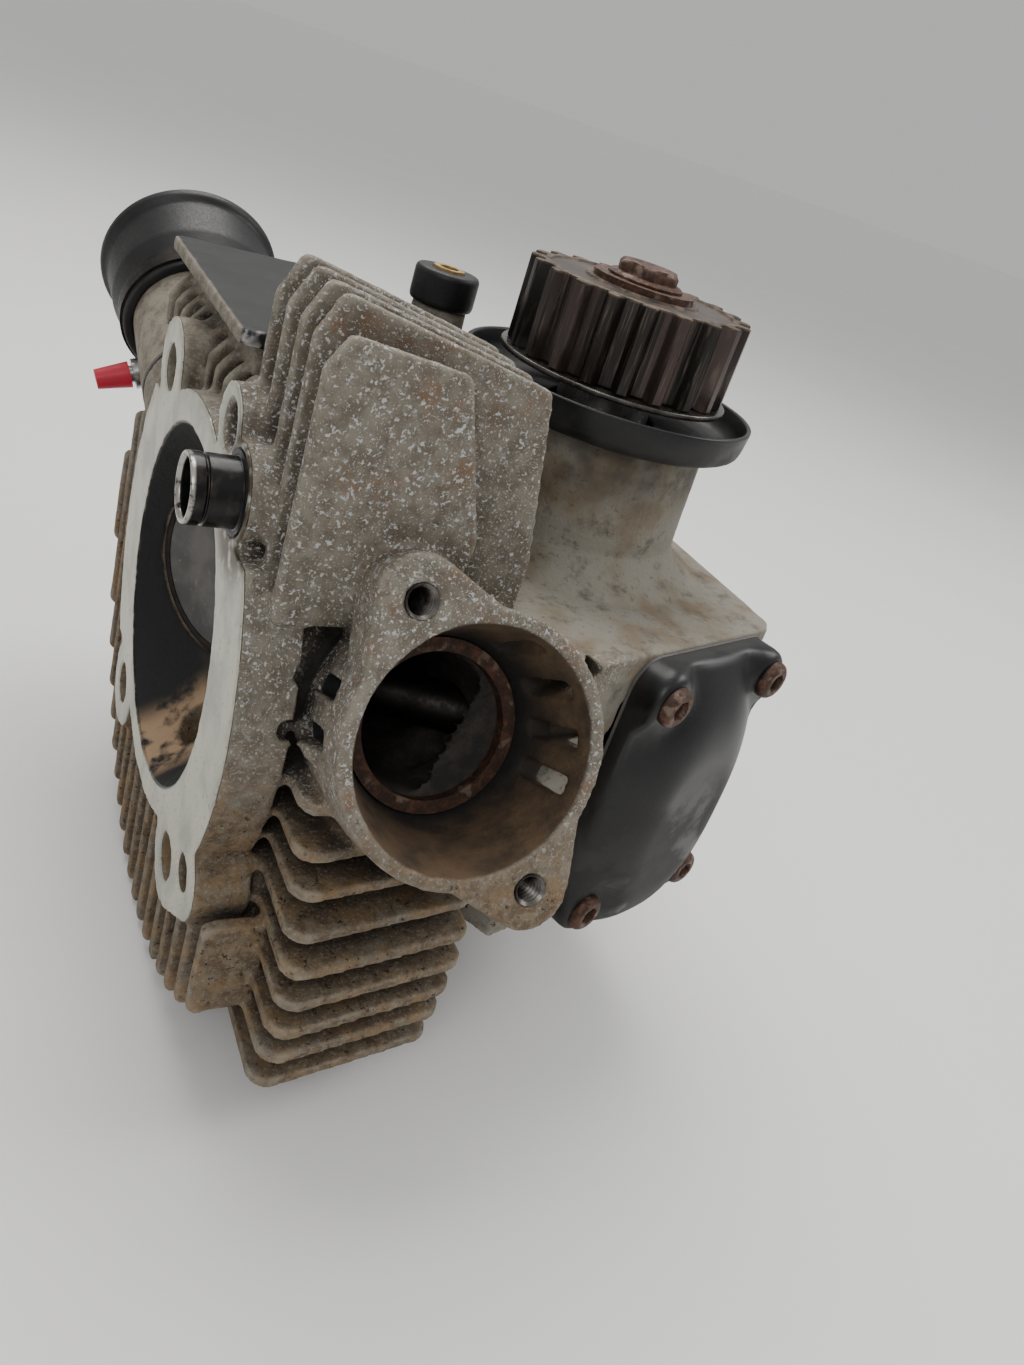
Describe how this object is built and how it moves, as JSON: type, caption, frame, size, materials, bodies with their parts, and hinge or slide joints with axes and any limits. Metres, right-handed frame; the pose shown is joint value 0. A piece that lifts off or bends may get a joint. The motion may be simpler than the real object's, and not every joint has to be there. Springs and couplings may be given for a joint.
{
  "type": "cylinder head",
  "caption": "Air-cooled cylinder head with finned casting, belt-driven camshaft, valves worked by opening and closing rockers, flanged exhaust collar, side covers and rubber intake boot.",
  "frame": {"origin": "centre of the bore on the gasket face, which is also the centre of the four head stud holes", "axes": "-X points out of the gasket face towards the cylinder; +Z runs along the camshaft towards its pulley; -Y is the exhaust side and +Y the intake side"},
  "size_m": [0.156, 0.2371, 0.1957],
  "materials": {
    "cast_aluminium": "rough cast, oxidised and dirty",
    "bare_steel": "machined",
    "dark_steel": "oiled dark steel with wear",
    "rusty_steel": "rusted",
    "valve_steel": "heat-dulled",
    "black_paint": "satin, dusty",
    "black_rubber": "matte",
    "red_rubber": "matte",
    "brass": "dull",
    "bronze": "machined",
    "gasket_fibre": "fibre sheet"
  },
  "bodies": {
    "head": {"head_casting": "cast_aluminium", "intake_valve_seat": "bare_steel", "intake_valve_guide": "bronze", "intake_stem_seal": "black_rubber", "intake_opening_rocker_shaft": "bare_steel", "intake_closing_rocker_shaft": "bare_steel", "intake_closing_spring": "bare_steel", "intake_valve_cover": "black_paint", "intake_cover_gasket": "gasket_fibre", "intake_cover_screws": "rusty_steel", "exhaust_valve_seat": "bare_steel", "exhaust_valve_guide": "bronze", "exhaust_stem_seal": "black_rubber", "exhaust_opening_rocker_shaft": "bare_steel", "exhaust_closing_rocker_shaft": "bare_steel", "exhaust_closing_spring": "bare_steel", "exhaust_valve_cover": "black_paint", "exhaust_cover_gasket": "gasket_fibre", "exhaust_cover_screws": "rusty_steel", "cam_bearing_outer_race": "bare_steel", "cam_bearing_balls": "bare_steel", "cam_oil_seal": "black_rubber", "cam_rear_bush": "bronze", "cam_end_cover": "cast_aluminium", "cam_end_cover_o_ring": "black_rubber", "cam_end_cover_screws": "rusty_steel", "belt_dust_shield": "black_paint", "exhaust_gasket_ring": "rusty_steel", "intake_manifold": "cast_aluminium", "intake_manifold_gasket": "gasket_fibre", "intake_manifold_screws": "bare_steel", "intake_boot": "black_rubber", "intake_boot_clamp": "bare_steel", "vacuum_nipple": "bare_steel", "vacuum_nipple_cap": "red_rubber", "stud_sleeve": "dark_steel", "stud_sleeve_seal": "black_rubber", "belt_cover_bush": "black_rubber", "belt_cover_bush_insert": "brass"},
    "cam": {"camshaft": "bare_steel", "cam_bearing_inner_race": "bare_steel", "cam_pulley": "dark_steel", "pulley_guide_flange": "dark_steel", "pulley_key": "bare_steel", "pulley_washer": "rusty_steel", "pulley_bolt": "rusty_steel"},
    "intake_valve": {"intake_valve": "valve_steel", "intake_closing_collar": "bare_steel", "intake_valve_cap": "bare_steel"},
    "intake_opening_rocker": {"intake_opening_rocker": "bare_steel"},
    "intake_closing_rocker": {"intake_closing_rocker": "bare_steel"},
    "exhaust_valve": {"exhaust_valve": "valve_steel", "exhaust_closing_collar": "bare_steel", "exhaust_valve_cap": "bare_steel"},
    "exhaust_opening_rocker": {"exhaust_opening_rocker": "bare_steel"},
    "exhaust_closing_rocker": {"exhaust_closing_rocker": "bare_steel"}
  },
  "joints": [
    {"name": "cam_spin", "type": "hinge", "parent": "head", "child": "cam", "pos_m": [0.1006, 0, 0], "axis": [0, 0, 1], "continuous": true},
    {"name": "intake_valve_lift", "type": "slide", "parent": "head", "child": "intake_valve", "axis": [0.891, 0.454, 0], "range_m": [-0.005, 0], "stiffness_N_per_m": 2500, "springref_m": 0.002},
    {"name": "intake_opening_rocker_swing", "type": "hinge", "parent": "head", "child": "intake_opening_rocker", "pos_m": [0.12136, 0.03955, 0], "axis": [0, 0, -1], "range_deg": [-9.6, 0]},
    {"name": "intake_closing_rocker_swing", "type": "hinge", "parent": "head", "child": "intake_closing_rocker", "pos_m": [0.09415, 0.03018, 0], "axis": [0, 0, -1], "range_deg": [-11.07, 0]},
    {"name": "exhaust_valve_lift", "type": "slide", "parent": "head", "child": "exhaust_valve", "axis": [0.891, -0.454, 0], "range_m": [-0.005, 0], "stiffness_N_per_m": 2500, "springref_m": 0.002},
    {"name": "exhaust_opening_rocker_swing", "type": "hinge", "parent": "head", "child": "exhaust_opening_rocker", "pos_m": [0.12136, -0.03955, 0], "axis": [0, 0, 1], "range_deg": [-9.6, 0]},
    {"name": "exhaust_closing_rocker_swing", "type": "hinge", "parent": "head", "child": "exhaust_closing_rocker", "pos_m": [0.09415, -0.03018, 0], "axis": [0, 0, 1], "range_deg": [-11.07, 0]}
  ],
  "couplings": [
    {"joint": "intake_opening_rocker_swing", "follows": "intake_valve_lift", "rad_per_m": 33.333},
    {"joint": "intake_closing_rocker_swing", "follows": "intake_valve_lift", "rad_per_m": 38.462},
    {"joint": "exhaust_opening_rocker_swing", "follows": "exhaust_valve_lift", "rad_per_m": 33.333},
    {"joint": "exhaust_closing_rocker_swing", "follows": "exhaust_valve_lift", "rad_per_m": 38.462}
  ]
}
